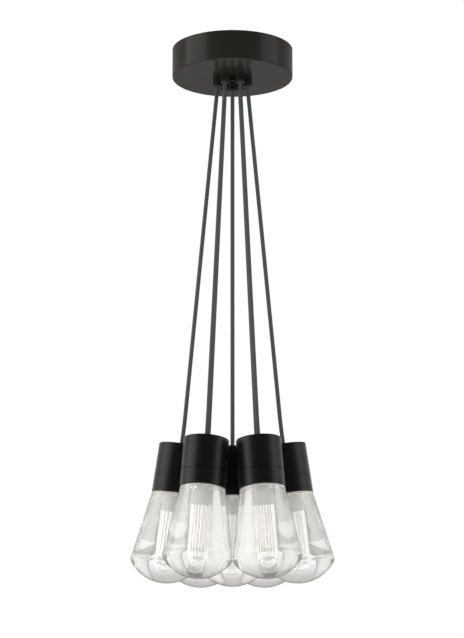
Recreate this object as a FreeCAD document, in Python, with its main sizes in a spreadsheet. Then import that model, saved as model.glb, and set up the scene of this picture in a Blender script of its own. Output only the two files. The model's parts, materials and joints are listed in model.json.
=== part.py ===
import FreeCAD, Part
import math
import os
import re

import Sketcher
from FreeCAD import Placement, Rotation, Vector

# Cluster pendant: seven glass lamps hang on cords from one round ceiling canopy.
# The origin is on the ceiling, at the middle of the canopy. +Z is up, lengths are in mm.
# Each lamp piece is drawn in the lamp's own frame: z = 0 on top of its cap, its axis along Z.

doc = FreeCAD.newDocument("ClusterPendant")
sheet = doc.addObject("Spreadsheet::Sheet", "Sizes")

# Driving sizes, one name each
sizes = {
    # canopy
    "canopy_radius": 82.5,
    "canopy_height": 40.5,
    "canopy_wall": 1.5,
    "canopy_edge": 1.0,
    # mounting bar on the ceiling box
    "bar_length": 120,
    "bar_width": 20,
    "bar_thickness": 2,
    "bar_end_margin": 5.55,
    "box_screw_spacing": 88.9,
    "box_slot_length": 20,
    "box_slot_width": 4.8,
    # threaded tube through the middle, its lock nut and the collar that holds the canopy up
    "nipple_radius": 4.8,
    "nipple_bore": 3.1,
    "nipple_grip": 5,
    "window_height": 9,
    "collar_radius": 8,
    "collar_height": 6.2,
    "collar_edge": 0.8,
    "nut_flats": 14,
    "nut_height": 3,
    # running and assembly clearances, and how far a cutting tool runs past what it cuts
    "thread_gap": 0.05,
    "cord_gap": 0.1,
    "hole_gap": 0.2,
    "face_gap": 0.05,
    "cut_overrun": 1,
    # pendant cords, and the share of a run that the bend at each of its ends may take
    "cord_radius": 2.75,
    "cord_straight_end": 20,
    "bend_share": 0.45,
    # strain reliefs under the canopy
    "lamp_ring_count": 6,
    "gland_ring_radius": 20.5,
    "gland_radius": 6.35,
    "gland_height": 12,
    "gland_edge": 0.6,
    "gland_flare": 0.8,
    "stem_rise": 8,
    "grub_radius": 2,
    "grub_recess": 0.4,
    "grub_key_flats": 2,
    "grub_key_depth": 1.2,
    # driver, terminal block and leads inside the canopy
    "driver_length": 84,
    "driver_width": 28,
    "driver_height": 22,
    "driver_offset": 52,
    "driver_round": 3,
    "terminal_pitch": 9,
    "terminal_count": 9,
    "terminal_width": 12,
    "terminal_height": 11,
    "terminal_offset": 48,
    "terminal_hole_depth": 3,
    "lead_radius": 1,
    "lead_level": 19,
    "lead_bend": 6,
    "tail_rise": 2,
    # where the lamps hang
    "lamp_drop": 508.5,
    "centre_extra_drop": 3,
    "lamp_lean": 8.1,
    "glass_spacing": 0.4,
    # lamp cap: upper housing above, glass ring below the seam
    "cap_top_radius": 29.6,
    "cap_bottom_radius": 30,
    "cap_edge": 0.4,
    "housing_length": 42.8,
    "housing_top_wall": 2.5,
    "housing_cavity_radius": 26.2,
    "boss_radius": 7,
    "boss_length": 12,
    "ring_length": 21.4,
    "seam_width": 0.8,
    "seam_depth": 1,
    "thread_radius": 27.4,
    "spigot_bore": 25.8,
    "thread_length": 8.2,
    "ring_edge": 0.4,
    # cord grip inside the housing
    "grip_flats": 19,
    "grip_start": 6,
    "grip_length": 16,
    "grip_floor": 3,
    "grip_wire_radius": 1.4,
    # LED module
    "module_radius": 20,
    "module_rise": 6,
    "module_rim_gap": 1,
    "module_flange_thickness": 3,
    "module_web_thickness": 3.6,
    "led_thickness": 1,
    "reflector_radius": 25,
    "reflector_wall": 1.2,
    "reflector_depth": 66.5,
    "socket_wall": 1.3,
    "socket_length": 11,
    # light guide
    "guide_radius": 7.4,
    "guide_edge": 0.5,
    "guide_end": 149,
    # glass
    "neck_wall": 2,
    "neck_radius": 28,
    "neck_gap": 0.2,
    "neck_length": 15,
    "glass_seat_gap": 0.3,
    "glass_lip_round": 1,
    "cone_angle": 9.5,
    "bulb_radius": 44.4,
    "shoulder_radius": 7,
    "shoulder_depth": 155.5,
    "bulb_length": 181.7,
    # bore in the glass: plain and frosted above, then fluted, with a bowl at its end
    "bore_start": 67.5,
    "bore_radius": 9.2,
    "flute_start": 91,
    "flute_end": 151,
    "flute_count": 16,
    "flute_radius": 1.6,
    "flute_crest_radius": 9.1,
    "flute_core_radius": 7.9,
    "bowl_depth": 6,
}

for row, (alias, number) in enumerate(sizes.items(), start=1):
    sheet.set(f"A{row}", alias)
    sheet.set(f"B{row}", str(number))
    sheet.setAlias(f"B{row}", alias)
doc.recompute()


def bound(text):
    # Points each size name in an expression at its cell
    return re.sub(r"[a-z_]{5,}", lambda found: prefixed(found.group()), text)


def prefixed(word):
    return "Sizes." + word if word in sizes else word


def value(text):
    result = sheet.evalExpression(bound(text))
    return float(getattr(result, "Value", result))


# Sizes that several pieces share
cord_bore = "(cord_radius + cord_gap)"
cap_length = "(housing_length + seam_width + ring_length)"
module_seat = "(housing_length - thread_length - glass_seat_gap - module_flange_thickness)"
module_web = f"({module_seat} + module_web_thickness)"
led_face = f"({module_web} + led_thickness)"
gland_mouth = "(canopy_height + gland_height)"
centre_top = "(canopy_height + collar_height)"
shoulder_centre = "(bulb_radius - shoulder_radius)"
dome_reach = "(bulb_length - shoulder_radius)"
dome_centre = (
    f"(({dome_reach}^2 - {shoulder_centre}^2 - shoulder_depth^2)"
    f" / (2 * ({dome_reach} - shoulder_depth)))"
)
dome_radius = f"(bulb_length - {dome_centre})"
lamp_ring_radius = (
    "(2 * bulb_radius + glass_spacing - shoulder_depth * sin(lamp_lean * 1 deg))"
)

# Closer than this, two points or lengths are the same
tolerance = 1e-6


def cap_radius_at(depth):
    return f"(cap_top_radius + (cap_bottom_radius - cap_top_radius) * ({depth}) / {cap_length})"


# Sketch and feature helpers
def new_body(label):
    body = doc.addObject("PartDesign::Body", label)
    body.Label = label
    return body


def new_sketch(body, role, offset="0"):
    sketch = body.newObject("Sketcher::SketchObject", f"{body.Name}_sketch")
    plane = [item for item in body.Origin.OriginFeatures if item.Role == role][0]
    sketch.AttachmentSupport = [(plane, "")]
    sketch.MapMode = "FlatFace"
    if offset != "0":
        sketch.setExpression("AttachmentOffset.Base.z", bound(offset))
    return sketch


def fix(sketch, kind, geometry, point, text):
    # Holds one coordinate of a point to an expression measured from the sketch's origin
    axis = {"DistanceX": -2, "DistanceY": -1}[kind]
    if text == "0":
        sketch.addConstraint(Sketcher.Constraint("PointOnObject", geometry, point, axis))
        return
    number = value(text)
    index = sketch.addConstraint(Sketcher.Constraint(kind, -1, 1, geometry, point, number))
    sketch.setExpression(f"Constraints[{index}]", bound(text))


def outline(sketch, corners):
    # A closed outline. Each corner is (x, y) or (x, y, radius, side): the last form starts an arc
    # to the next corner, which bulges to the right of the way on side 1 and to the left on side -1.
    points = [Vector(value(corner[0]), value(corner[1]), 0) for corner in corners]
    for index, corner in enumerate(corners):
        start = points[index]
        end = points[(index + 1) % len(points)]
        if len(corner) == 2:
            sketch.addGeometry(Part.LineSegment(start, end))
            continue
        chord = end - start
        radius = value(corner[2])
        rise = radius - math.sqrt(max(radius**2 - chord.Length**2 / 4, 0))
        across = Vector(chord.y, -chord.x, 0).normalize()
        middle = (start + end) / 2 + across * rise * corner[3]
        sketch.addGeometry(Part.Arc(start, middle, end))
    for index, corner in enumerate(corners):
        arc = len(corner) == 4
        begin = arc_start(sketch, index, points[index]) if arc else 1
        fix(sketch, "DistanceX", index, begin, corner[0])
        fix(sketch, "DistanceY", index, begin, corner[1])
        following = (index + 1) % len(corners)
        target = points[following]
        tail = 3 - begin
        head = arc_start(sketch, following, target) if len(corners[following]) == 4 else 1
        sketch.addConstraint(Sketcher.Constraint("Coincident", index, tail, following, head))
        if arc:
            bow = Sketcher.Constraint("Radius", index, value(corner[2]))
            number = sketch.addConstraint(bow)
            sketch.setExpression(f"Constraints[{number}]", bound(corner[2]))


def arc_start(sketch, index, point):
    # An arc always runs anticlockwise, so either of its ends can be the one that starts the edge
    return 1 if sketch.getPoint(index, 1).distanceToPoint(point) < tolerance else 2


def circle(sketch, x, y, radius):
    centre = Vector(value(x), value(y), 0)
    index = sketch.addGeometry(Part.Circle(centre, Vector(0, 0, 1), value(radius)))
    fix(sketch, "DistanceX", index, 3, x)
    fix(sketch, "DistanceY", index, 3, y)
    number = sketch.addConstraint(Sketcher.Constraint("Radius", index, value(radius)))
    sketch.setExpression(f"Constraints[{number}]", bound(radius))


def hexagon(sketch, flats, level="0"):
    # Two of its corners lie level with its middle
    reach = f"({flats} / sqrt(3))"
    corners = []
    for across, up in ((1, 0), (0.5, 1), (-0.5, 1), (-1, 0), (-0.5, -1), (0.5, -1)):
        side = f"{level} + {up} * {flats} / 2" if up else level
        corners.append((f"{across} * {reach}", side))
    outline(sketch, corners)


def revolve(body, corners):
    sketch = new_sketch(body, "XZ_Plane")
    outline(sketch, corners)
    feature = body.newObject("PartDesign::Revolution", f"{body.Name}_revolution")
    feature.Profile = sketch
    feature.ReferenceAxis = (sketch, ["V_Axis"])
    feature.Angle = 360
    body.Tip = feature
    doc.recompute()


def pad(body, sketch, length, reverse=False):
    feature = body.newObject("PartDesign::Pad", f"{body.Name}_pad")
    feature.Profile = sketch
    feature.setExpression("Length", bound(length))
    feature.Reversed = reverse
    body.Tip = feature
    doc.recompute()
    return feature


def pocket(body, sketch, depth, reverse=False):
    before = body.Shape.Volume
    feature = body.newObject("PartDesign::Pocket", f"{body.Name}_pocket")
    feature.Profile = sketch
    feature.setExpression("Length", bound(depth))
    feature.Reversed = reverse
    body.Tip = feature
    doc.recompute()
    if body.Shape.Volume >= before:
        raise RuntimeError(f"{feature.Name} cuts nothing")
    return feature


def polar(body, feature, count):
    pattern = body.newObject("PartDesign::PolarPattern", f"{body.Name}_pattern")
    pattern.Originals = [feature]
    axis = [item for item in body.Origin.OriginFeatures if item.Role == "Z_Axis"][0]
    pattern.Axis = (axis, [""])
    pattern.Angle = 360
    pattern.setExpression("Occurrences", bound(count))
    body.Tip = pattern
    doc.recompute()


def primitive(kind, name, measures):
    feature = doc.addObject(kind, name)
    for key, text in measures.items():
        feature.setExpression(key, bound(text))
    return feature


def group(label, members):
    # Like pieces that share one node stay separate solids in a compound
    feature = doc.addObject("Part::Compound", label)
    feature.Label = label
    feature.Links = members
    return feature


def stand(height):
    # A place on the vertical middle line, the given depth below the ceiling
    return Placement(Vector(0, 0, -value(height)), Rotation())


def ring_place(index, radius, depth):
    # A place on a ring about the vertical middle line, turned to face outwards
    angle = 360 / value("lamp_ring_count") * index
    turn = Rotation(Vector(0, 0, 1), angle)
    return Placement(turn.multVec(Vector(value(radius), 0, -value(depth))), turn)


def lamp_place(index):
    # Outer lamps lean, so that their glass rests side by side. The last one hangs in the middle.
    if index == value("lamp_ring_count"):
        return stand("canopy_height + lamp_drop + centre_extra_drop")
    place = ring_place(index, lamp_ring_radius, "canopy_height + lamp_drop")
    lean = Placement(Vector(), Rotation(Vector(0, 1, 0), -value("lamp_lean")))
    return place.multiply(lean)


# Canopy and what hangs it
def make_canopy():
    body = new_body("canopy_shell")
    revolve(
        body,
        [
            ("nipple_radius + hole_gap", "-canopy_height"),
            ("canopy_radius - canopy_edge", "-canopy_height"),
            ("canopy_radius", "canopy_edge - canopy_height"),
            ("canopy_radius", "0"),
            ("canopy_radius - canopy_wall", "0"),
            ("canopy_radius - canopy_wall", "canopy_wall - canopy_height"),
            ("nipple_radius + hole_gap", "canopy_wall - canopy_height"),
        ],
    )
    hole = new_sketch(body, "XY_Plane")
    circle(hole, "gland_ring_radius", "0", "nipple_radius + hole_gap")
    cut = pocket(body, hole, "canopy_height + cut_overrun")
    polar(body, cut, "lamp_ring_count")
    return body


def make_mounting_bar():
    # Each slot starts inside its screw's place and ends the given margin short of the bar's end
    inner = "(box_screw_spacing / 2 - box_slot_length / 2 + box_slot_width / 2)"
    outer = "(bar_length / 2 - bar_end_margin - box_slot_width / 2)"
    straight = f"({outer} - {inner})"
    tool_height = "bar_thickness + 2 * cut_overrun"
    tool_foot = "-(bar_thickness + cut_overrun)"
    plate = primitive(
        "Part::Box",
        "bar_plate",
        {
            "Length": "bar_length",
            "Width": "bar_width",
            "Height": "bar_thickness",
            "Placement.Base.x": "-bar_length / 2",
            "Placement.Base.y": "-bar_width / 2",
            "Placement.Base.z": "-bar_thickness",
        },
    )
    tools = [
        primitive(
            "Part::Cylinder",
            "bar_hub_hole",
            {
                "Radius": "nipple_radius + thread_gap",
                "Height": tool_height,
                "Placement.Base.z": tool_foot,
            },
        )
    ]
    for side in (-1, 1):
        tools.append(
            primitive(
                "Part::Box",
                "bar_slot",
                {
                    "Length": straight,
                    "Width": "box_slot_width",
                    "Height": tool_height,
                    "Placement.Base.x": f"{side} * ({inner} + {outer}) / 2 - {straight} / 2",
                    "Placement.Base.y": "-box_slot_width / 2",
                    "Placement.Base.z": tool_foot,
                },
            )
        )
        for end in (inner, outer):
            tools.append(
                primitive(
                    "Part::Cylinder",
                    "bar_slot_end",
                    {
                        "Radius": "box_slot_width / 2",
                        "Height": tool_height,
                        "Placement.Base.x": f"{side} * {end}",
                        "Placement.Base.z": tool_foot,
                    },
                )
            )
    holes = doc.addObject("Part::MultiFuse", "bar_holes")
    holes.Shapes = tools
    bar = doc.addObject("Part::Cut", "mounting_bar")
    bar.Base = plate
    bar.Tool = holes
    bar.Label = "mounting_bar"
    return bar


def make_nipple():
    # Threaded tube with a side window, through which the middle lamp's lead comes out
    body = new_body("centre_nipple")
    foot = f"-({centre_top} + nipple_grip)"
    revolve(
        body,
        [
            ("nipple_bore", "0"),
            ("nipple_radius", "0"),
            ("nipple_radius", foot),
            ("nipple_bore", foot),
        ],
    )
    window = new_sketch(body, "XZ_Plane")
    outline(
        window,
        [
            ("-nipple_bore", "-lead_level - window_height / 2"),
            ("nipple_bore", "-lead_level - window_height / 2"),
            ("nipple_bore", "window_height / 2 - lead_level"),
            ("-nipple_bore", "window_height / 2 - lead_level"),
        ],
    )
    pocket(body, window, "nipple_radius + cut_overrun", reverse=True)
    return body


def make_nut(label, place):
    # A hexagon nut on a tube of the nipple's size, its top face at the given place
    body = new_body(label)
    face = new_sketch(body, "XY_Plane")
    hexagon(face, "nut_flats")
    pad(body, face, "nut_height", reverse=True)
    hole = new_sketch(body, "XY_Plane")
    circle(hole, "0", "0", "nipple_radius + thread_gap")
    pocket(body, hole, "nut_height + cut_overrun")
    body.Placement = place
    return body


def make_collar():
    body = new_body("retaining_collar")
    bore = "nipple_radius + thread_gap"
    revolve(
        body,
        [
            (bore, "0"),
            ("collar_radius - collar_edge", "0"),
            ("collar_radius", "-collar_edge"),
            ("collar_radius", "collar_edge - collar_height"),
            ("collar_radius - collar_edge", "-collar_height"),
            (bore, "-collar_height"),
        ],
    )
    body.Placement = stand("canopy_height")
    return body


# Strain reliefs, their grub screws and nuts
def grub_level(centre):
    # The screw bites below the nipple's foot in the middle gland, and halfway down in the others
    if centre:
        return "-(nipple_grip + gland_height) / 2"
    return "-gland_height / 2"


def gland_place(index):
    # The middle one is turned, so that its screw faces the front
    if index == value("lamp_ring_count"):
        place = stand(centre_top)
        place.Rotation = Rotation(Vector(0, 0, 1), -90)
        return place
    return ring_place(index, "gland_ring_radius", "canopy_height")


def make_gland(index):
    # Outer glands have a stem through the canopy. The middle one screws on to the nipple's foot.
    centre = index == value("lamp_ring_count")
    body = new_body(f"strain_relief_{index + 1}")
    if centre:
        head = [
            ("nipple_radius + thread_gap", "-(nipple_grip + face_gap)"),
            ("nipple_radius + thread_gap", "0"),
        ]
        foot = [(cord_bore, "-(nipple_grip + face_gap)")]
    else:
        head = [
            (cord_bore, "canopy_wall + stem_rise"),
            ("nipple_radius", "canopy_wall + stem_rise"),
            ("nipple_radius", "0"),
        ]
        foot = []
    revolve(
        body,
        head
        + [
            ("gland_radius", "0"),
            ("gland_radius", "gland_edge - gland_height"),
            ("gland_radius - gland_edge", "-gland_height"),
            (f"{cord_bore} + gland_flare", "-gland_height"),
            (cord_bore, "gland_flare - gland_height"),
        ]
        + foot,
    )
    hole = new_sketch(body, "YZ_Plane")
    circle(hole, "0", grub_level(centre), "grub_radius + thread_gap")
    pocket(body, hole, "gland_radius + cut_overrun", reverse=True)
    body.Placement = gland_place(index)
    return body


def make_grub_screw(index):
    centre = index == value("lamp_ring_count")
    body = new_body(f"grub_screw_{index + 1}")
    tip = f"({cord_bore} + face_gap)"
    face = new_sketch(body, "YZ_Plane", tip)
    circle(face, "0", grub_level(centre), "grub_radius")
    pad(body, face, f"gland_radius - grub_recess - {tip}")
    key = new_sketch(body, "YZ_Plane", "gland_radius - grub_recess")
    hexagon(key, "grub_key_flats", grub_level(centre))
    pocket(body, key, "grub_key_depth")
    body.Placement = gland_place(index)
    return body


# Driver, terminal block and leads
def make_driver():
    body = new_body("led_driver")
    face = new_sketch(body, "XY_Plane")
    across = "driver_length / 2"
    outline(
        face,
        [
            (f"-{across}", "driver_offset - driver_width / 2"),
            (across, "driver_offset - driver_width / 2"),
            (across, "driver_offset + driver_width / 2"),
            (f"-{across}", "driver_offset + driver_width / 2"),
        ],
    )
    block = pad(body, face, "driver_height")
    upright = [
        f"Edge{number}"
        for number, edge in enumerate(block.Shape.Edges, start=1)
        if abs(edge.Length - value("driver_height")) < tolerance
    ]
    soften = body.newObject("PartDesign::Fillet", "led_driver_fillet")
    soften.Base = (block, upright)
    soften.setExpression("Radius", bound("driver_round"))
    body.Tip = soften
    body.Placement = stand("canopy_height - canopy_wall")
    return body


def make_terminal_block():
    body = new_body("terminal_block")
    face = new_sketch(body, "XY_Plane")
    across = "(terminal_count * terminal_pitch / 2)"
    outline(
        face,
        [
            (f"-{across}", "-terminal_offset - terminal_width / 2"),
            (across, "-terminal_offset - terminal_width / 2"),
            (across, "terminal_width / 2 - terminal_offset"),
            (f"-{across}", "terminal_width / 2 - terminal_offset"),
        ],
    )
    pad(body, face, "terminal_height")
    entry = new_sketch(body, "XY_Plane", "terminal_height")
    first = "-(terminal_count - 1) * terminal_pitch / 2"
    circle(entry, first, "-terminal_offset", "lead_radius + cord_gap")
    cut = pocket(body, entry, "terminal_hole_depth")
    row = body.newObject("PartDesign::LinearPattern", "terminal_row")
    row.Originals = [cut]
    axis = [item for item in body.Origin.OriginFeatures if item.Role == "X_Axis"][0]
    row.Direction = (axis, [""])
    row.setExpression("Length", bound("(terminal_count - 1) * terminal_pitch"))
    row.setExpression("Occurrences", bound("terminal_count"))
    body.Tip = row
    body.Placement = stand("canopy_height - canopy_wall")
    return body


def rounded_path(points, bend=None):
    # Straight runs joined by tangent arcs: of the given radius, or as large as the runs allow
    edges = []
    reach = points[0]
    for before, corner, after in zip(points, points[1:], points[2:]):
        come = (corner - before).normalize()
        leave = (after - corner).normalize()
        half_turn = come.getAngle(leave) / 2
        shorter = min(before.distanceToPoint(corner), corner.distanceToPoint(after))
        radius = bend or value("bend_share") * shorter / math.tan(half_turn)
        step = radius * math.tan(half_turn)
        start = corner - come * step
        end = corner + leave * step
        inwards = (leave - come).normalize()
        middle = corner + inwards * radius * (1 / math.cos(half_turn) - 1)
        edges.append(Part.LineSegment(reach, start).toShape())
        edges.append(Part.Arc(start, middle, end).toShape())
        reach = end
        print(f"  bend of {math.degrees(2 * half_turn):.1f} degrees, radius {radius:.1f} mm")
    edges.append(Part.LineSegment(reach, points[-1]).toShape())
    return Part.Wire(edges)


def tube(points, radius, bend=None):
    path = rounded_path(points, bend)
    heading = points[1] - points[0]
    section = Part.Wire(Part.Circle(points[0], heading, radius).toShape())
    solid = path.makePipeShell([section], True, False)
    ideal = math.pi * radius**2 * path.Length
    print(f"  tube {path.Length:.1f} mm long, volume over section x length {solid.Volume / ideal:.5f}")
    return solid


def shape_node(label, shape):
    feature = doc.addObject("Part::Feature", label)
    feature.Label = label
    feature.Shape = shape
    return feature


def terminal_point(number):
    across = (number - (value("terminal_count") - 1) / 2) * value("terminal_pitch")
    floor = "canopy_height - canopy_wall - terminal_height + terminal_hole_depth"
    return Vector(across, -value("terminal_offset"), -value(floor))


def plan_order(point):
    # From left to right. Of two in line, the front one comes last on the left and first on the right.
    return (round(point.x), math.copysign(point.y, point.y * point.x))


def make_lamp_lead(index, number):
    # The cord's tail in its gland, stripped above it, and the lead to its terminal
    place = gland_place(index)
    centre = index == value("lamp_ring_count")
    jacket = value("cord_radius")
    if centre:
        foot = -value(f"{centre_top} + gland_height") + jacket + value("face_gap")
        head = -value("lead_level + window_height / 2 + lead_bend / 2")
    else:
        foot = -value(gland_mouth) + jacket + value("face_gap")
        head = value("canopy_wall + stem_rise + tail_rise - canopy_height")
    base = Vector(place.Base.x, place.Base.y, foot)
    tail = Part.makeCylinder(jacket, head - foot, base)
    level = -value("lead_level")
    end = terminal_point(number)
    route = [
        Vector(base.x, base.y, head),
        Vector(base.x, base.y, level),
        Vector(end.x, end.y, level),
        end,
    ]
    lead = tube(route, value("lead_radius"), value("lead_bend"))
    return shape_node(f"lamp_lead_{index + 1}", tail.fuse(lead))


def make_driver_lead(side, number):
    end = terminal_point(number)
    level = -value("lead_level")
    face = value("driver_offset - driver_width / 2")
    route = [Vector(end.x, face, level), Vector(end.x, end.y, level), end]
    lead = tube(route, value("lead_radius"), value("lead_bend"))
    return shape_node(f"driver_lead_{side}", lead)


# Cords
def make_cord(index, label):
    # A rounded upper end sits in the gland's flared mouth, where the cord bends as the lamp swings
    lamp = lamp_place(index)
    radius = value("cord_radius")
    grip_floor = value("grip_start + grip_length - grip_floor")
    end = lamp.multVec(Vector(0, 0, -grip_floor))
    if index == value("lamp_ring_count"):
        top = Vector(0, 0, -value(f"{centre_top} + gland_height"))
        points = [top, end]
    else:
        top = ring_place(index, "gland_ring_radius", gland_mouth).Base
        points = [top, lamp.multVec(Vector(0, 0, value("cord_straight_end"))), end]
    solid = tube(points, radius)
    upwards = (points[0] - points[1]).normalize()
    dome = Part.makeSphere(radius, top, upwards, 0, 90, 360)
    return shape_node(label, solid.fuse(dome).removeSplitter())


# Lamp pieces
def make_housing(label):
    body = new_body(label)
    revolve(
        body,
        [
            (cord_bore, "0"),
            ("cap_top_radius - cap_edge", "0"),
            ("cap_top_radius", "-cap_edge"),
            (cap_radius_at("housing_length"), "-housing_length"),
            ("thread_radius + thread_gap", "-housing_length"),
            ("thread_radius + thread_gap", f"-{module_seat}"),
            ("housing_cavity_radius", f"-{module_seat}"),
            ("housing_cavity_radius", "-housing_top_wall"),
            ("boss_radius", "-housing_top_wall"),
            ("boss_radius", "-boss_length"),
            (cord_bore, "-boss_length"),
        ],
    )
    return body


def make_cord_grip(label):
    # A blind hexagon nut over the housing's boss. The cord stands on its floor.
    body = new_body(label)
    face = new_sketch(body, "XY_Plane", "-grip_start")
    hexagon(face, "grip_flats")
    pad(body, face, "grip_length", reverse=True)
    wide = new_sketch(body, "XY_Plane", "-grip_start")
    circle(wide, "0", "0", "boss_radius + thread_gap")
    pocket(body, wide, "boss_length - grip_start + face_gap")
    bore = new_sketch(body, "XY_Plane", "-grip_start")
    circle(bore, "0", "0", cord_bore)
    pocket(body, bore, "grip_length - grip_floor")
    wires = new_sketch(body, "XY_Plane", "-grip_start")
    circle(wires, "0", "0", "grip_wire_radius")
    pocket(body, wires, "grip_length + cut_overrun")
    return body


def make_led_module(label):
    # White moulding: its flange sits in the housing, its skirt is the reflector around the guide.
    # A thick rim on top clears the cord grip all round. The raised face in its socket is the LEDs.
    body = new_body(label)
    flange_foot = f"-({module_seat} + module_flange_thickness)"
    rim_bore = "grip_flats / sqrt(3) + module_rim_gap"
    socket_bore = "guide_radius + cord_gap"
    socket_end = f"-({module_web} + socket_length)"
    revolve(
        body,
        [
            ("0", f"-{module_seat}"),
            ("0", f"-{led_face}"),
            (socket_bore, f"-{led_face}"),
            (socket_bore, socket_end),
            (f"{socket_bore} + socket_wall", socket_end),
            (f"{socket_bore} + socket_wall", f"-{module_web}"),
            ("reflector_radius - reflector_wall", f"-{module_web}"),
            ("reflector_radius - reflector_wall", "-reflector_depth"),
            ("reflector_radius", "-reflector_depth"),
            ("reflector_radius", flange_foot),
            ("thread_radius - hole_gap", flange_foot),
            ("thread_radius - hole_gap", f"-{module_seat}"),
            ("module_radius", f"-{module_seat}"),
            ("module_radius", f"module_rise - {module_seat}"),
            (rim_bore, f"module_rise - {module_seat}"),
            (rim_bore, f"-{module_seat}"),
        ],
    )
    return body


def make_light_guide(label):
    # A clear rod, held in the module's socket, which takes the light down into the glass
    body = new_body(label)
    top = f"-({led_face} + face_gap)"
    revolve(
        body,
        [
            ("0", top),
            ("guide_radius", top),
            ("guide_radius", "guide_edge - guide_end"),
            ("guide_radius - guide_edge", "-guide_end"),
            ("0", "-guide_end"),
        ],
    )
    return body


def make_glass_ring(label):
    # Its threaded spigot screws up into the housing. The glass neck is bonded into its wide bore.
    body = new_body(label)
    bore = "neck_radius + neck_gap"
    shelf = f"neck_length + neck_gap - {cap_length}"
    land = f"{cap_radius_at('housing_length')} - seam_depth"
    seat = "-(housing_length + face_gap)"
    groove = "-(housing_length + seam_width)"
    foot = f"-{cap_length}"
    revolve(
        body,
        [
            ("spigot_bore", "-(housing_length - thread_length)"),
            ("thread_radius", "-(housing_length - thread_length)"),
            ("thread_radius", seat),
            (land, seat),
            (land, groove),
            (cap_radius_at("housing_length + seam_width"), groove),
            (f"{cap_radius_at(cap_length)}", f"ring_edge - {cap_length}"),
            (f"{cap_radius_at(cap_length)} - ring_edge", foot),
            (bore, foot),
            (bore, shelf),
            ("spigot_bore", shelf),
        ],
    )
    return body


def make_glass(label):
    # Solid but for the neck and the bore: a lip under the ring, a long cone, a tight shoulder, a dome
    body = new_body(label)
    lip = f"({cap_length} + glass_seat_gap)"
    slope = "tan(cone_angle * 1 deg)"
    bow_x = f"({shoulder_centre} + shoulder_radius * cos(cone_angle * 1 deg))"
    bow_y = "(shoulder_depth - shoulder_radius * sin(cone_angle * 1 deg))"
    reach = f"({dome_radius} - shoulder_radius)"
    over_x = f"{shoulder_centre} / {reach}"
    over_y = f"(shoulder_depth - {dome_centre}) / {reach}"
    round_end = f"({lip} + glass_lip_round)"
    cone_at_round = f"({bow_x} - ({bow_y} - {round_end}) * {slope})"
    neck_top = f"-({cap_length} - neck_length)"
    bowl_radius = "(flute_core_radius^2 + bowl_depth^2) / (2 * bowl_depth)"
    revolve(
        body,
        [
            ("neck_radius - neck_wall", neck_top),
            ("neck_radius", neck_top),
            ("neck_radius", f"-{lip}"),
            (f"{cone_at_round} - glass_lip_round", f"-{lip}", "glass_lip_round", -1),
            (cone_at_round, f"-{round_end}"),
            (bow_x, f"-{bow_y}", "shoulder_radius", -1),
            (
                f"{shoulder_centre} + shoulder_radius * {over_x}",
                f"-(shoulder_depth + shoulder_radius * {over_y})",
                dome_radius,
                -1,
            ),
            ("0", "-bulb_length"),
            ("0", "-(flute_end + bowl_depth)", bowl_radius, 1),
            ("flute_core_radius", "-flute_end"),
            ("flute_core_radius", "-flute_start"),
            ("bore_radius", "-flute_start"),
            ("bore_radius", "-bore_start"),
            ("neck_radius - neck_wall", "-bore_start"),
        ],
    )
    flute = new_sketch(body, "XY_Plane", "-flute_start")
    circle(flute, "flute_crest_radius - flute_radius", "0", "flute_radius")
    cut = pocket(body, flute, "flute_end - flute_start")
    polar(body, cut, "flute_count")
    return body


# Build everything, and name what is written out
lamp_count = int(value("lamp_ring_count")) + 1
nodes = [make_canopy(), make_mounting_bar(), make_nipple(), make_collar()]
nodes.append(make_nut("lock_nut", stand("bar_thickness")))
nodes.append(make_driver())
nodes.append(make_terminal_block())

glands = [make_gland(index) for index in range(lamp_count)]
nodes.append(group("strain_reliefs", glands))
grubs = [make_grub_screw(index) for index in range(lamp_count)]
nodes.append(group("grub_screws", grubs))

gland_nuts = []
for index in range(lamp_count - 1):
    place = ring_place(index, "gland_ring_radius", "canopy_height - canopy_wall - nut_height")
    gland_nuts.append(make_nut(f"strain_relief_nut_{index + 1}", place))
nodes.append(group("strain_relief_nuts", gland_nuts))

# Terminals from left to right, in an order in which no lead crosses another
left_to_right = sorted(range(lamp_count), key=lambda index: plan_order(gland_place(index).Base))
leads = [make_lamp_lead(index, number) for number, index in enumerate(left_to_right, start=1)]
leads.append(make_driver_lead("left", 0))
leads.append(make_driver_lead("right", int(value("terminal_count")) - 1))
nodes.append(group("inner_leads", leads))

makers = {
    "lamp_housing": make_housing,
    "cord_grip": make_cord_grip,
    "led_module": make_led_module,
    "light_guide": make_light_guide,
    "glass_ring": make_glass_ring,
    "glass": make_glass,
}
for index in range(lamp_count):
    tag = f"{index + 1}" if index < lamp_count - 1 else "centre"
    nodes.append(make_cord(index, f"cord_{tag}"))
    for kind, make in makers.items():
        piece = make(f"{kind}_{tag}")
        piece.Placement = lamp_place(index)
        nodes.append(piece)

doc.recompute()

for item in doc.Objects:
    if "Invalid" in item.State or "Error" in item.State:
        raise RuntimeError(f"{item.Name} failed: {item.State}")

os.makedirs("parts", exist_ok=True)
for node in nodes:
    shape = node.Shape
    if shape.isNull() or not shape.isValid():
        raise RuntimeError(f"{node.Label} has no valid shape")
    shape.exportStep(f"parts/{node.Label}.step")
    print(f"{node.Label}: {len(shape.Solids)} solid(s), {shape.Volume / 1000:.2f} cm3")
print(f"{len(nodes)} nodes")
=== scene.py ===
import json
import math

import bpy
import numpy as np
from mathutils import Matrix, Vector


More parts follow.
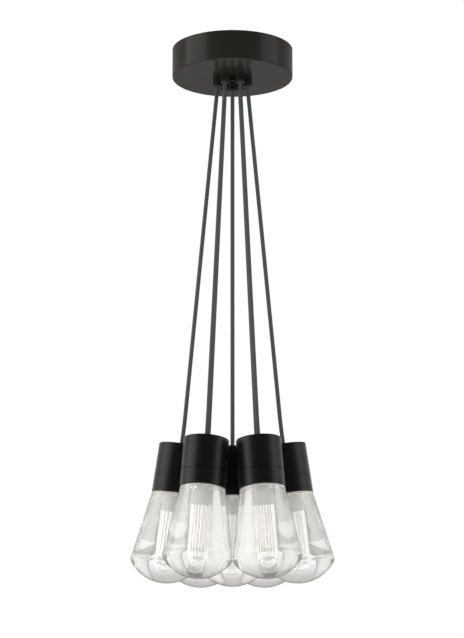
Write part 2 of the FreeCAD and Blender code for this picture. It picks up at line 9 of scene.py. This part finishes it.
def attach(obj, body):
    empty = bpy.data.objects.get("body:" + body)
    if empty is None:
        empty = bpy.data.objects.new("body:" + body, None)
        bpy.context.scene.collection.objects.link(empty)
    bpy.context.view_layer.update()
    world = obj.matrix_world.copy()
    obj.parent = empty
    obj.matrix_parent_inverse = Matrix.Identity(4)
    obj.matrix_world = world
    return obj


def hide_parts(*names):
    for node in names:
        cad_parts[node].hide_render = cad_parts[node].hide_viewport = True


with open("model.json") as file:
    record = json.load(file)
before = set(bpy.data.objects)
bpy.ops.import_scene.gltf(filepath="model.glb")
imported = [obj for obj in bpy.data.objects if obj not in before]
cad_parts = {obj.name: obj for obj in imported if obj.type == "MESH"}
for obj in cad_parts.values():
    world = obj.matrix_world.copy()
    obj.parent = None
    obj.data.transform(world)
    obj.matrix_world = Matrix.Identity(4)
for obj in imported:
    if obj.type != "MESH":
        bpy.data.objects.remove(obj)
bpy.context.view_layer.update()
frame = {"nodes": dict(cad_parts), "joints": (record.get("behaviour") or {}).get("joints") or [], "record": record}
print("frame loaded:", len(frame["nodes"]), "nodes")

# Cluster pendant: seven clear glass lamps in black caps, on cords from one dark bronze canopy.
# Lengths are in metres. Every lamp piece is worked out in the lamp's own frame, with its axis
# along Z and z = 0 on top of its cap, and then set in place.

scene = bpy.context.scene
joints = {joint["name"]: joint for joint in frame["joints"]}
lampTags = ["1", "2", "3", "4", "5", "6", "centre"]


# Camera, first because the cords are measured against its view

cameraSettings = {
    "lens": 115.5,
    "distance": 2.740,
    "pitchDegrees": 11.70,
    "target": (-0.00065, 0.0, -0.3775),
}


def makeCamera(settings):
    data = bpy.data.cameras.new("camera")
    data.lens = settings["lens"]
    camera = bpy.data.objects.new("camera", data)
    scene.collection.objects.link(camera)
    pitch = math.radians(settings["pitchDegrees"])
    back = Vector((0, -math.cos(pitch), -math.sin(pitch)))
    camera.location = Vector(settings["target"]) + back * settings["distance"]
    camera.rotation_euler = (math.pi / 2 + pitch, 0, 0)
    scene.camera = camera


makeCamera(cameraSettings)
scene.view_settings.view_transform = "Standard"


# Shader maths: a wrapped socket can be added, subtracted, multiplied and so on

class Wire:
    def __init__(self, finish, socket):
        self.finish = finish
        self.socket = socket

    def math(self, operation, first, second=0.0):
        made = self.finish.node("ShaderNodeMath", {"operation": operation}, {0: first, 1: second})
        return made["Value"]

    def __add__(self, other):
        return self.math("ADD", self, other)

    def __radd__(self, other):
        return self.math("ADD", other, self)

    def __sub__(self, other):
        return self.math("SUBTRACT", self, other)

    def __rsub__(self, other):
        return self.math("SUBTRACT", other, self)

    def __mul__(self, other):
        return self.math("MULTIPLY", self, other)

    def __rmul__(self, other):
        return self.math("MULTIPLY", other, self)

    def __pow__(self, other):
        return self.math("POWER", self, other)


class Finish:
    # One node tree, a material's or the world's. node() adds any node and returns its outputs
    def __init__(self, tree):
        self.tree = tree
        self.shader = tree.nodes.get("Principled BSDF")

    def node(self, kind, settings=None, sockets=None):
        made = self.tree.nodes.new(kind)
        for name, value in (settings or {}).items():
            setattr(made, name, value)
        for name, value in (sockets or {}).items():
            self.feed(made.inputs[name], value)
        return {output.name: Wire(self, output) for output in made.outputs if output.enabled}

    def feed(self, socket, value):
        if isinstance(value, Wire):
            self.tree.links.new(value.socket, socket)
        else:
            socket.default_value = value

    def blend(self, factor, **sockets):
        # Shows a second finish, with these sockets, over the first, as far as the factor says
        named = {name.replace("_", " "): value for name, value in sockets.items()}
        other = self.node("ShaderNodeBsdfPrincipled", None, named)["BSDF"]
        surface = self.tree.nodes["Material Output"].inputs["Surface"]
        first = Wire(self, surface.links[0].from_socket)
        mixed = self.node("ShaderNodeMixShader", None, {0: factor, 1: first, 2: other})
        self.feed(surface, mixed["Shader"])

    def set(self, **sockets):
        # Constants and links on the shader's own sockets, an underscore standing for a space
        for name, value in sockets.items():
            self.feed(self.shader.inputs[name.replace("_", " ")], value)

    def place(self):
        return self.node("ShaderNodeTexCoord")["Object"]

    def stretched(self, *scale):
        # Object coordinates drawn out, so that noise of scale 1 makes streaks
        sockets = {"Vector": self.place(), "Scale": scale}
        return self.node("ShaderNodeMapping", None, sockets)["Vector"]

    def noise(self, scale, detail=2.0, roughness=0.5, place=None):
        sockets = {"Vector": place or self.place(), "Scale": scale, "Detail": detail}
        return self.node("ShaderNodeTexNoise", None, {**sockets, "Roughness": roughness})["Fac"]

    def tones(self, factor, dark, light):
        # A colour between two: the Mix node's colour sockets are its 6 and 7
        sockets = {0: factor, 6: (*dark, 1.0), 7: (*light, 1.0)}
        return self.node("ShaderNodeMix", {"data_type": "RGBA"}, sockets)["Result"]

    def bump(self, height, distance):
        sockets = {"Height": height, "Distance": distance}
        return self.node("ShaderNodeBump", None, sockets)["Normal"]


def newFinish(name):
    material = bpy.data.materials.new(name)
    material.use_nodes = True
    return material, Finish(material.node_tree)


# Painted and plated metal

paintSettings = {
    "bronzePaint": {
        "dark": (0.0205, 0.0190, 0.0155),
        "light": (0.0270, 0.0250, 0.0202),
        "roughness": 0.23,
        "specular": 0.21,
        "grain": 2600.0,
        "grainHeight": 0.000012,
        "patches": 28.0,
        "dust": 420.0,
        "dustSheen": 0.08,
    },
    "blackPaint": {
        "dark": (0.0054, 0.0052, 0.0047),
        "light": (0.0082, 0.0078, 0.0070),
        "roughness": 0.36,
        "specular": 0.40,
        "grain": 3200.0,
        "grainHeight": 0.000014,
        "patches": 28.0,
        "dust": 420.0,
        "dustSheen": 0.08,
    },
}


def makePaint(name):
    # Baked paint: broad patches of tone, a fine orange-peel skin and a little dust in the sheen
    settings = paintSettings[name]
    material, finish = newFinish(name)
    patches = finish.noise(settings["patches"], 3.0)
    skin = finish.noise(settings["grain"])
    dust = finish.noise(settings["dust"], 4.0, 0.65)
    finish.set(
        Base_Color=finish.tones(patches, settings["dark"], settings["light"]),
        Roughness=settings["roughness"] + settings["dustSheen"] * (dust - 0.5),
        Normal=finish.bump(skin, settings["grainHeight"]),
        Specular_IOR_Level=settings["specular"],
    )
    return material


zincSettings = {
    "dark": (0.50, 0.50, 0.49),
    "light": (0.66, 0.66, 0.64),
    "roughness": 0.26,
    "markSheen": 0.16,
    "markHeight": 0.000008,
    "marks": (60.0, 2400.0, 2400.0),
    "patches": 60.0,
}


def makeZinc(settings):
    # Bright zinc plate with faint drawing marks along X
    material, finish = newFinish("zincPlate")
    marks = finish.noise(1.0, 3.0, 0.6, finish.stretched(*settings["marks"]))
    patches = finish.noise(settings["patches"], 3.0)
    finish.set(
        Base_Color=finish.tones(patches, settings["dark"], settings["light"]),
        Metallic=1.0,
        Roughness=settings["roughness"] + settings["markSheen"] * marks,
        Normal=finish.bump(marks, settings["markHeight"]),
    )
    return material


oxideSettings = {
    "dark": (0.006, 0.006, 0.006),
    "light": (0.016, 0.015, 0.014),
    "metallic": 0.6,
    "roughness": 0.38,
    "grainSheen": 0.12,
    "grain": 2400.0,
    "mottle": 900.0,
}


def makeBlackOxide(settings):
    # Black oxide with a mottled grain
    material, finish = newFinish("blackOxide")
    mottle = finish.noise(settings["mottle"], 3.0)
    grain = finish.noise(settings["grain"])
    finish.set(
        Base_Color=finish.tones(mottle, settings["dark"], settings["light"]),
        Metallic=settings["metallic"],
        Roughness=settings["roughness"] + settings["grainSheen"] * grain,
    )
    return material


# Plastics

plasticSkin = {"patches": 45.0, "grain": 3800.0, "grainSheen": 0.12, "grainHeight": 0.00001}
plasticSettings = {
    "whitePlastic": {
        "dark": (0.76, 0.76, 0.745),
        "light": (0.84, 0.84, 0.825),
        "roughness": 0.42,
    },
    "blackNylon": {
        "dark": (0.018, 0.018, 0.019),
        "light": (0.030, 0.030, 0.031),
        "roughness": 0.55,
    },
    "driverPlastic": {
        "dark": (0.66, 0.66, 0.64),
        "light": (0.72, 0.72, 0.70),
        "roughness": 0.50,
    },
    "leadJacket": {
        "dark": (0.22, 0.22, 0.23),
        "light": (0.30, 0.30, 0.31),
        "roughness": 0.45,
    },
}


def makePlastic(name):
    # Moulded plastic: slight flow patches and a spark-eroded skin
    settings = plasticSettings[name]
    material, finish = newFinish(name)
    patches = finish.noise(plasticSkin["patches"], 3.0)
    skin = finish.noise(plasticSkin["grain"], 2.0, 0.6)
    finish.set(
        Base_Color=finish.tones(patches, settings["dark"], settings["light"]),
        Roughness=settings["roughness"] + plasticSkin["grainSheen"] * (skin - 0.5),
        Normal=finish.bump(skin, plasticSkin["grainHeight"]),
    )
    return material


jacketSettings = {
    "dark": (0.082, 0.086, 0.090),
    "light": (0.097, 0.102, 0.107),
    "roughness": 0.46,
    "specular": 0.22,
    "streaks": (520.0, 520.0, 9.0),
    "streakSheen": 0.12,
    "streakHeight": 0.00001,
}


def makeCordJacket(settings):
    # Smooth extruded jacket with faint lengthwise streaks
    material, finish = newFinish("cordJacket")
    streaks = finish.noise(1.0, place=finish.stretched(*settings["streaks"]))
    finish.set(
        Base_Color=finish.tones(streaks, settings["dark"], settings["light"]),
        Roughness=settings["roughness"] + settings["streakSheen"] * streaks,
        Specular_IOR_Level=settings["specular"],
        Normal=finish.bump(streaks, settings["streakHeight"]),
    )
    return material


# Glass and acrylic

glassFinishSettings = {
    "tint": (0.974, 0.967, 0.952, 1.0),
    "ior": 1.5,
    "clear": 0.88,
    "waves": 60.0,
    "waveHeight": 0.000004,
    "frostDark": (0.67, 0.66, 0.635),
    "frostLight": (0.73, 0.72, 0.695),
    "frostGrain": 5200.0,
    "frostRoughness": 0.8,
    "frostSpecular": 0.1,
    # Painted shade along the glass's outline, seen edge on: its tone, gloss and how fast it fades inwards
    "rimTone": (0.05, 0.05, 0.048, 1.0),
    "rimRoughness": 0.5,
    "rimPower": 5.6,
}


def makeGlassFinish(settings):
    # Cast glass with a trace of milk and the faintest waves
    material, finish = newFinish("clearGlass")
    waves = finish.noise(settings["waves"], 0.0)
    finish.set(
        Base_Color=settings["tint"],
        Roughness=0.0,
        IOR=settings["ior"],
        Transmission_Weight=settings["clear"],
        Normal=finish.bump(waves, settings["waveHeight"]),
    )
    # The frost attribute says where the wall is blasted
    frost = finish.node("ShaderNodeAttribute", {"attribute_name": "frost"})["Fac"]
    grain = finish.noise(settings["frostGrain"])
    finish.blend(
        frost,
        Base_Color=finish.tones(grain, settings["frostDark"], settings["frostLight"]),
        Roughness=settings["frostRoughness"],
        Specular_IOR_Level=settings["frostSpecular"],
    )
    # Painted shade: dark grey mixed in where the outside is seen edge on, standing in for the dark reflections
    # along the glass's outline
    facing = finish.node("ShaderNodeLayerWeight", None, {"Blend": 0.5})["Facing"]
    outside = 1 - finish.node("ShaderNodeNewGeometry")["Backfacing"]
    finish.blend(
        facing ** settings["rimPower"] * outside,
        Base_Color=settings["rimTone"],
        Roughness=settings["rimRoughness"],
        Specular_IOR_Level=0.0,
    )
    return material


guideFinishSettings = {
    "tint": (0.985, 0.985, 0.98, 1.0),
    "ior": 1.49,
    "roughness": 0.01,
    "ringSheen": 0.03,
    "rings": (30.0, 30.0, 1500.0),
}


def makeGuideFinish(settings):
    # Clear acrylic rod, turned and polished: faint rings in its gloss
    material, finish = newFinish("clearAcrylic")
    rings = finish.noise(1.0, place=finish.stretched(*settings["rings"]))
    finish.set(
        Base_Color=settings["tint"],
        Roughness=settings["roughness"] + settings["ringSheen"] * rings,
        IOR=settings["ior"],
        Transmission_Weight=1.0,
    )
    return material


finishes = {
    "bronzeMetal": makePaint("bronzePaint"),
    "blackMetal": makePaint("blackPaint"),
    "zincSteel": makeZinc(zincSettings),
    "screwSteel": makeBlackOxide(oxideSettings),
    "whitePlastic": makePlastic("whitePlastic"),
    "gripPlastic": makePlastic("blackNylon"),
    "driverPlastic": makePlastic("driverPlastic"),
    "leadJacket": makePlastic("leadJacket"),
    "cordJacket": makeCordJacket(jacketSettings),
    "clearGlass": makeGlassFinish(glassFinishSettings),
    "clearAcrylic": makeGuideFinish(guideFinishSettings),
}
print("materials made:", len(finishes))


# Carried-over CAD nodes keep their shape and take the finish of their material slot

def finishOf(slotName):
    first, *rest = slotName.split("_")
    return finishes[first + "".join(word.capitalize() for word in rest)]


def dressNodes():
    for part in frame["record"]["subparts"]:
        mesh = frame["nodes"][part["node"]].data
        mesh.materials.clear()
        mesh.materials.append(finishOf(part["material_slot"]))


dressNodes()
print("nodes dressed")


# Where each lamp hangs: its unscrewing joint gives the cap's top and the axis

def lampFrame(tag):
    joint = joints[f"unscrew_{tag}"]
    origin = Vector(joint["pos_m"])
    up = -Vector(joint["axis"]).normalized()
    outwards = Vector((origin.x, origin.y, 0)) if tag != "centre" else Vector((1, 0, 0))
    across = up.cross(outwards).normalized()
    turn = Matrix((across.cross(up), across, up)).transposed()
    return Matrix.Translation(origin) @ turn.to_4x4()


lampFrames = {tag: lampFrame(tag) for tag in lampTags}


# Surfaces worked out on grids

sharpDegrees = 40   # an edge that bends by more than this stays crisp


def turned(profile, sides, swell=1.0):
    # Surface of revolution: the point at depth s and angle a is (r cos a, r sin a, -s).
    # The profile starts and ends on the axis. swell multiplies the radius, by row and side.
    angles = np.linspace(0, 2 * np.pi, sides, endpoint=False)
    radius, depth = profile[1:-1, 0][:, None], profile[1:-1, 1][:, None]
    wide = radius * swell * np.ones((1, sides))
    down = depth * np.ones((1, sides))
    rows = np.stack([wide * np.cos(angles), wide * np.sin(angles), -down], axis=-1)
    poles = np.array([[0, 0, -profile[0, 1]], [0, 0, -profile[-1, 1]]])
    points = np.concatenate([rows.reshape(-1, 3), poles])
    count = len(rows)
    index = np.arange(count * sides).reshape(count, sides)
    beside = np.roll(index, -1, axis=1)
    quads = np.stack([index[:-1], beside[:-1], beside[1:], index[1:]], axis=-1).reshape(-1, 4)
    first, last = count * sides, count * sides + 1
    start = np.stack([np.full(sides, first), beside[0], index[0]], axis=-1)
    end = np.stack([np.full(sides, last), index[-1], beside[-1]], axis=-1)
    return points, quads, np.concatenate([start, end])


def enclosed(points, quads, triangles):
    # Signed volume: positive when the faces point outwards
    whole = np.concatenate([quads[:, [0, 1, 2]], quads[:, [0, 2, 3]], triangles])
    one, two, three = (points[whole[:, corner]] for corner in range(3))
    return float(np.einsum("ij,ij->i", one, np.cross(two, three)).sum()) / 6


def addPiece(name, points, quads, triangles, material, place):
    if enclosed(points, quads, triangles) < 0:
        quads, triangles = quads[:, ::-1], triangles[:, ::-1]
    matrix = np.array(place)
    placed = points @ matrix[:3, :3].T + matrix[:3, 3]
    mesh = bpy.data.meshes.new(name)
    mesh.from_pydata(placed.tolist(), [], quads.tolist() + triangles.tolist())
    mesh.polygons.foreach_set("use_smooth", [True] * len(mesh.polygons))
    mesh.set_sharp_from_angle(angle=math.radians(sharpDegrees))
    mesh.materials.append(material)
    piece = bpy.data.objects.new(name, mesh)
    scene.collection.objects.link(piece)
    return piece


def arc(centre, radius, start, end, count):
    # Points on a circle from one angle to another, in radius and depth
    angles = np.linspace(start, end, count)
    return np.array(centre) + radius * np.stack([np.cos(angles), np.sin(angles)], axis=-1)


def run(start, end, count):
    # Points on a straight line, in radius and depth
    return np.linspace(start, end, count)


# Glass: solid but for its neck and its bore, which is frosted above and fluted below

glassSettings = {
    "neckRadius": 0.0280,
    "neckWall": 0.0020,
    "neckTop": 0.0500,
    "lipDepth": 0.0653,
    "lipRound": 0.0010,
    "coneDegrees": 9.5,
    "bulbRadius": 0.0444,
    "shoulderRadius": 0.0070,
    "shoulderDepth": 0.1555,
    "length": 0.1817,
    "boreStart": 0.0675,
    "boreRadius": 0.0092,
    "fluteStart": 0.0910,
    "fluteEnd": 0.1510,
    "flutes": 16,
    "fluteRadius": 0.0016,
    "crestRadius": 0.0091,
    "coreRadius": 0.0079,
    "bowlDepth": 0.0060,
    "frostAtMouth": 0.3,
    "frostFade": 0.006,
    "pointsPerFlute": 14,
    "step": 0.00001,
}
glassRows = {
    "dome": 40,
    "shoulder": 16,
    "cone": 24,
    "lip": 7,
    "lipLedge": 5,
    "neck": 6,
    "bowl": 14,
    "flutes": 40,
    "frosted": 12,
    "neckFloor": 8,
}


def glassOutside(settings):
    # From the pole of the dome up to the neck's top
    cone = math.radians(settings["coneDegrees"])
    shoulder = settings["shoulderRadius"]
    offset = settings["bulbRadius"] - shoulder
    reach = settings["length"] - shoulder
    depth = settings["shoulderDepth"]
    domeCentre = (reach**2 - offset**2 - depth**2) / (2 * (reach - depth))
    domeRadius = settings["length"] - domeCentre
    meeting = math.atan2(depth - domeCentre, offset)
    lip = settings["lipDepth"]
    rounding = settings["lipRound"]
    dome = arc((0, domeCentre), domeRadius, math.pi / 2, meeting, glassRows["dome"])
    bend = arc((offset, depth), shoulder, meeting, -cone, glassRows["shoulder"])
    coneTop = bend[-1] + (bend[-1][1] - lip - rounding) * np.array([-math.tan(cone), -1])
    side = run(bend[-1], coneTop, glassRows["cone"])
    corner = (coneTop[0] - rounding, lip + rounding)
    edge = arc(corner, rounding, 0, -math.pi / 2, glassRows["lip"])
    neck = settings["neckRadius"]
    ledge = run(edge[-1], (neck, lip), glassRows["lipLedge"])
    tube = run((neck, lip), (neck, settings["neckTop"]), glassRows["neck"])
    return np.concatenate([dome, bend[1:], side[1:], edge[1:], ledge[1:], tube[1:]])


def glassBore(settings):
    # From the pole of the bowl up to the neck's top, and which of its rows are fluted
    core, bowl = settings["coreRadius"], settings["bowlDepth"]
    start, end = settings["fluteStart"], settings["fluteEnd"]
    radius = (core**2 + bowl**2) / (2 * bowl)
    rim = math.asin((radius - bowl) / radius)
    crest, bore = settings["crestRadius"], settings["boreRadius"]
    step, floor = settings["step"], settings["boreStart"]
    neck = settings["neckRadius"] - settings["neckWall"]
    rounded = arc((0, end + bowl - radius), radius, math.pi / 2, rim, glassRows["bowl"])
    flutes = run((crest, end), (crest, start), glassRows["flutes"])
    frosted = run((bore, start - step), (bore, floor), glassRows["frosted"])
    ledge = run((bore + step, floor), (neck, floor), glassRows["neckFloor"])
    tube = run((neck, floor - step), (neck, settings["neckTop"]), glassRows["neck"])
    rows = np.concatenate([rounded, flutes, frosted, ledge, tube])
    fluted = np.zeros(len(rows), dtype=bool)
    fluted[len(rounded):len(rounded) + len(flutes)] = True
    return rows, fluted


def fluteShape(settings, angles):
    # Round flutes of radius f on a circle of radius p: at angle u from a flute's middle the
    # surface is at p cos u + sqrt(f^2 - p^2 sin^2 u), given as a share of the crest's radius
    flute = settings["fluteRadius"]
    circle = settings["crestRadius"] - flute
    pitch = 2 * np.pi / settings["flutes"]
    off = (angles + pitch / 2) % pitch - pitch / 2
    surface = circle * np.cos(off) + np.sqrt(flute**2 - (circle * np.sin(off))**2)
    return surface / settings["crestRadius"]


def makeGlass(tag):
    settings = glassSettings
    outside = glassOutside(settings)
    bore, fluted = glassBore(settings)
    profile = np.concatenate([outside, bore[::-1]])
    inBore = np.concatenate([np.zeros(len(outside), dtype=bool), fluted[::-1]])[1:-1]
    sides = settings["flutes"] * settings["pointsPerFlute"]
    angles = np.linspace(0, 2 * np.pi, sides, endpoint=False)
    swell = np.where(inBore[:, None], fluteShape(settings, angles)[None, :], 1.0)
    solid = turned(profile, sides, swell)
    piece = addPiece(f"clearGlass_{tag}", *solid, finishes["clearGlass"], lampFrames[tag])
    piece.visible_shadow = False   # light passes, so that what is inside is lit
    # The bore is matt from the flutes upwards and clears towards its mouth
    x, y, z = solid[0].T
    width, depth = np.hypot(x, y), -z
    onWall = width < settings["boreRadius"] + settings["step"] / 2
    blasted = onWall & (depth < settings["fluteStart"])
    mouth = settings["frostAtMouth"]
    inwards = (depth - settings["boreStart"]) / settings["frostFade"]
    share = np.clip(mouth + (1 - mouth) * inwards, 0, 1)
    frost = piece.data.attributes.new("frost", "FLOAT", "POINT")
    frost.data.foreach_set("value", np.where(blasted, share, 0.0).astype(np.float32))
    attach(piece, f"shade_{tag}")
    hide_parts(f"glass_{tag}")


# Light guide: a clear rod from the LEDs down the bore

guideSettings = {
    "radius": 0.0074,
    "top": 0.03595,
    "end": 0.1490,
    "edge": 0.0005,
    "sides": 96,
    "endRows": 8,
    "edgeRows": 4,
    "sideRows": 16,
}


def makeGuide(tag, body):
    settings = guideSettings
    radius, top = settings["radius"], settings["top"]
    end, edge = settings["end"], settings["edge"]
    inner, corner = radius - edge, settings["edgeRows"]
    profile = np.concatenate([
        run((0, top), (inner, top), settings["endRows"]),
        arc((inner, top + edge), edge, -math.pi / 2, 0, corner)[1:],
        run((radius, top + 2 * edge), (radius, end - 2 * edge), settings["sideRows"]),
        arc((inner, end - edge), edge, 0, math.pi / 2, corner),
        run((inner - edge, end), (0, end), settings["endRows"]),
    ])
    solid = turned(profile, settings["sides"])
    piece = addPiece(f"lightGuide_{tag}", *solid, finishes["clearAcrylic"], lampFrames[tag])
    piece.visible_shadow = False
    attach(piece, body)
    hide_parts(f"light_guide_{tag}")


# Cords: straight from the strain relief to just above the cap, where they turn into its axis

cordSettings = {
    "radius": 0.00275,
    "glandRing": 0.0205,
    "glandMouth": -0.0525,
    "centreMouth": -0.0587,
    "straightEnd": 0.020,
    "tail": -0.019,
    "outerLength": 0.5177,
    "centreLength": 0.5123,
    "roundSteps": 8,
    "lengthSteps": 24,
}


def cordRoute(tag):
    settings = cordSettings
    place = lampFrames[tag]
    end = place @ Vector((0, 0, settings["tail"]))
    if tag == "centre":
        top = Vector((0, 0, settings["centreMouth"]))
        return [top, (top + end) / 2, end], settings["centreLength"]
    outwards = Vector((place.translation.x, place.translation.y, 0)).normalized()
    top = outwards * settings["glandRing"] + Vector((0, 0, settings["glandMouth"]))
    corner = place @ Vector((0, 0, settings["straightEnd"]))
    above = corner + (top - corner).normalized() * (corner - end).length
    return [top, above, corner, end], settings["outerLength"]


def makeCord(tag, body):
    points, length = cordRoute(tag)
    curve = bpy.data.curves.new(f"pendantCord_{tag}", "CURVE")
    curve.dimensions = "3D"
    curve.bevel_depth = cordSettings["radius"]
    curve.bevel_resolution = cordSettings["roundSteps"]
    curve.use_fill_caps = True
    curve.resolution_u = cordSettings["lengthSteps"]
    spline = curve.splines.new("NURBS")
    spline.points.add(len(points) - 1)
    for knot, point in zip(spline.points, points):
        knot.co = (*point, 1)
    spline.order_u = 3
    spline.use_endpoint_u = True
    curve.materials.append(finishes["cordJacket"])
    piece = bpy.data.objects.new(f"pendantCord_{tag}", curve)
    scene.collection.objects.link(piece)
    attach(piece, body)
    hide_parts(f"cord_{tag}")


for tag in lampTags:
    body = "root" if tag == "centre" else f"pendant_{tag}"
    makeCord(tag, body)
    makeGuide(tag, body)
    makeGlass(tag)
print("cords, guides and glass made")


# Floor, light and surroundings

floorSettings = {
    "height": -2.4,
    "radius": 7.0,
    "sides": 96,
    "tone": (0.86, 0.86, 0.85),
    "worn": 0.97,
    "patches": 1.5,
    "roughness": 0.8,
    "lift": (0.30, 0.30, 0.295),
}
lightSettings = {
    "leftBox": {"place": (-2.1, -0.6, 0.0), "size": (1.9, 2.4), "power": 24.0},
    "rightBox": {"place": (2.2, -0.6, 0.1), "size": (1.5, 2.4), "power": 12.5},
    "underStrip": {"place": (0.0, -0.42, -2.25), "size": (1.6, 0.8), "power": 8.0},
}
worldSettings = {
    "ambient": 0.62,
    "white": 1.0,
    "frontGlossy": 0.025,
    "lowGlossy": 0.15,
    "highGlossy": 0.20,
    "highSeen": 0.48,
    "behindTurn": (-0.35, 0.25),
    "belowTurn": (-0.20, 0.10),
    "aboveTurn": (0.34, 0.20),
    "overheadTurn": (0.60, 0.30),
}


def makeFloor(settings):
    # A round pale floor: (r cos a, r sin a) at one height, a little paler to the eye
    angles = np.linspace(0, 2 * np.pi, settings["sides"], endpoint=False)
    flat = settings["radius"] * np.stack([np.cos(angles), np.sin(angles)], axis=-1)
    points = np.column_stack([flat, np.full(len(angles), settings["height"])])
    mesh = bpy.data.meshes.new("floor")
    mesh.from_pydata(points.tolist(), [], [list(range(len(angles)))])
    material, finish = newFinish("paleFloor")
    worn = tuple(settings["worn"] * part for part in settings["tone"])
    patches = finish.noise(settings["patches"])
    eye = finish.node("ShaderNodeLightPath")["Is Camera Ray"]
    finish.set(
        Base_Color=finish.tones(patches, worn, settings["tone"]),
        Roughness=settings["roughness"],
        Emission_Color=finish.tones(eye, (0.0, 0.0, 0.0), settings["lift"]),
        Emission_Strength=1.0,
    )
    mesh.materials.append(material)
    floor = bpy.data.objects.new("floor", mesh)
    scene.collection.objects.link(floor)


def makeLight(name, settings, aim):
    data = bpy.data.lights.new(name, "AREA")
    data.shape = "RECTANGLE"
    data.size, data.size_y = settings["size"]
    data.energy = settings["power"]
    light = bpy.data.objects.new(name, data)
    scene.collection.objects.link(light)
    light.location = settings["place"]
    light.rotation_euler = (aim - light.location).to_track_quat("-Z", "Y").to_euler()


def makeWorld(settings):
    # White to the eye, and behind the object also in its glass and gloss. The glass shows it
    # greyer overhead, and the gloss darker overhead, below and towards the front.
    world = bpy.data.worlds.new("studio")
    world.use_nodes = True
    scene.world = world
    finish = Finish(world.node_tree)
    path = finish.node("ShaderNodeLightPath")
    direction = finish.node("ShaderNodeTexCoord")["Generated"]
    away = finish.node("ShaderNodeSeparateXYZ", None, {"Vector": direction})

    def ramp(axis, turn, low):
        # From the low level to 1 while the direction's part along the axis makes its turn
        start, end = settings[turn]
        limits = {"From Min": start, "From Max": end, "To Min": settings[low], "To Max": 1.0}
        sockets = {"Value": away[axis], **limits}
        return finish.node("ShaderNodeMapRange", None, sockets)["Result"]

    behind = ramp("Y", "behindTurn", "frontGlossy")
    below = ramp("Z", "belowTurn", "lowGlossy")
    above = ramp("Z", "aboveTurn", "highGlossy")
    overhead = ramp("Z", "overheadTurn", "highSeen")
    through = path["Is Transmission Ray"]
    seen = path["Is Camera Ray"] + through * overhead
    plain = 1 - path["Is Camera Ray"] - through
    glossy = path["Is Glossy Ray"]
    strength = (
        seen * settings["white"]
        + plain * glossy * behind * below * above
        + plain * (1 - glossy) * settings["ambient"]
    )
    background = world.node_tree.nodes["Background"]
    background.inputs["Color"].default_value = (1, 1, 1, 1)
    finish.feed(background.inputs["Strength"], strength)


makeFloor(floorSettings)
aim = Vector((0, 0, cameraSettings["target"][2]))
for name, settings in lightSettings.items():
    makeLight(name, settings, aim)
makeWorld(worldSettings)
print("floor, lights and surroundings made")

lightPaths = 32   # enough for a ray to run on inside the glass and through several of them
scene.cycles.max_bounces = lightPaths
scene.cycles.glossy_bounces = lightPaths
scene.cycles.transmission_bounces = lightPaths
scene.cycles.transparent_max_bounces = lightPaths
